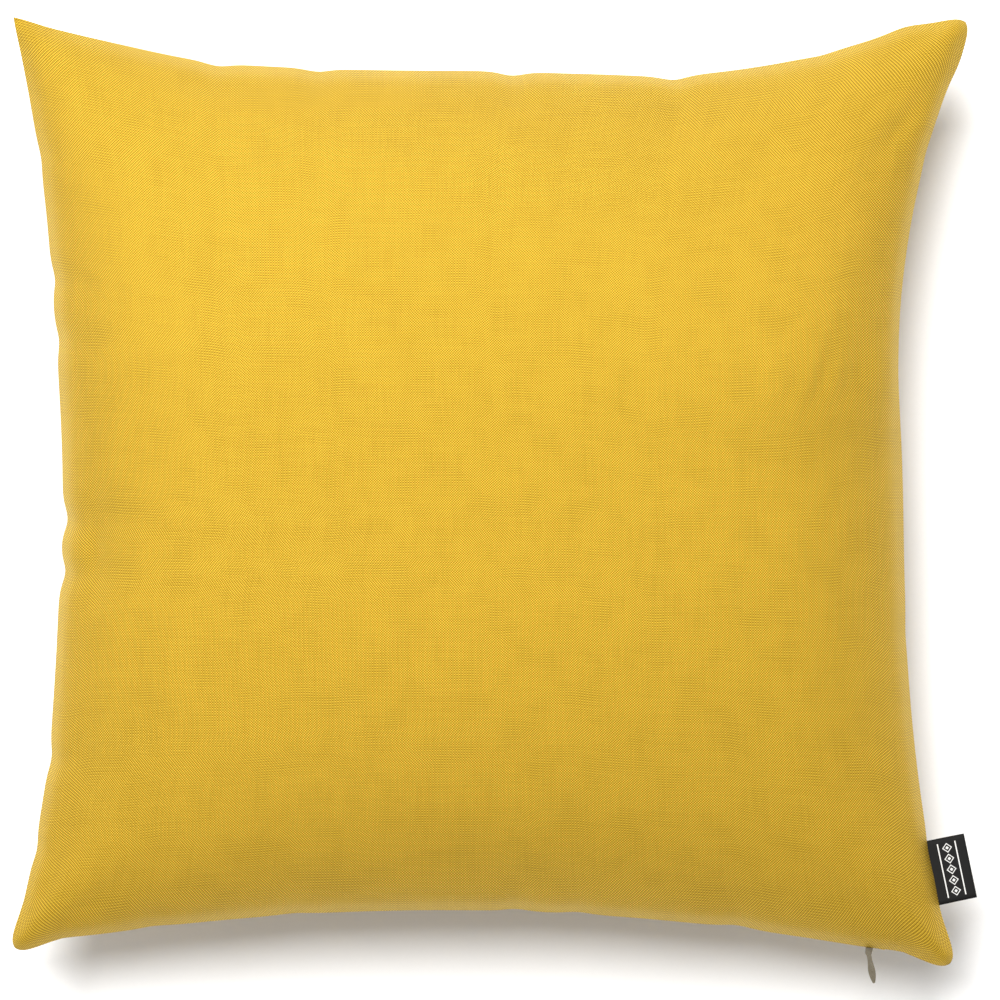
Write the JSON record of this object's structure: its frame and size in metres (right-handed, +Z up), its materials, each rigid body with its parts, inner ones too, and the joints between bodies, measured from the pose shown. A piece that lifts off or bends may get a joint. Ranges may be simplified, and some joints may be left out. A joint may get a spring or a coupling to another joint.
{
  "type": "throw pillow",
  "caption": "Square scatter cushion: zipped cloth cover with pulled-in sides over a filled inner pad, folded tab label, invisible zip whose slider and pull move.",
  "frame": {"origin": "middle of the flat patch of the back panel that the cushion rests on, under the middle of the cover", "axes": "+Z up out of the front panel, +Y towards the edge opposite the zip, +X towards the side that holds the tab label; the zip runs along the -Y edge"},
  "size_m": [0.4563, 0.4571, 0.15],
  "materials": {
    "mustard_cloth": "plain weave, soft slub, faint sheen",
    "mustard_thread": "spun polyester thread",
    "zip_tape": "knitted zip tape",
    "zip_coil": "dyed nylon monofilament",
    "pewter": "tumbled nickel plate",
    "black_satin": null,
    "white_satin": "satin care tape",
    "white_nonwoven": "spunbonded nonwoven",
    "polyester_fibre": "loose crimped fibre"
  },
  "bodies": {
    "cushion": {"cover_front_panel": "mustard_cloth", "cover_back_panel": "mustard_cloth", "seam_thread_top": "mustard_thread", "seam_thread_left": "mustard_thread", "seam_thread_right": "mustard_thread", "seam_thread_bottom_left": "mustard_thread", "seam_thread_bottom_right": "mustard_thread", "zipper_tape_front": "zip_tape", "zipper_tape_back": "zip_tape", "zipper_coil_front": "zip_coil", "zipper_coil_back": "zip_coil", "zipper_thread_front": "mustard_thread", "zipper_thread_back": "mustard_thread", "zipper_top_stops": "pewter", "zipper_bottom_stop": "pewter", "zipper_bar_tacks": "mustard_thread", "woven_label": "black_satin", "care_label": "white_satin", "pad_front_shell": "white_nonwoven", "pad_back_shell": "white_nonwoven", "pad_seam_thread": "white_nonwoven", "pad_filling": "polyester_fibre"},
    "slider": {"slider_body": "pewter"},
    "pull": {"slider_pull": "pewter"}
  },
  "joints": [
    {"name": "slider_travel", "type": "hinge", "parent": "cushion", "child": "slider", "pos_m": [-0.022, -1.34564, 0.068], "axis": [0, 0, 1], "range_deg": [0, 18]},
    {"name": "pull_swing", "type": "hinge", "parent": "slider", "child": "pull", "pos_m": [0.18015, -0.21908, 0.068], "axis": [0, 0, 1], "range_deg": [-100, 59]}
  ]
}
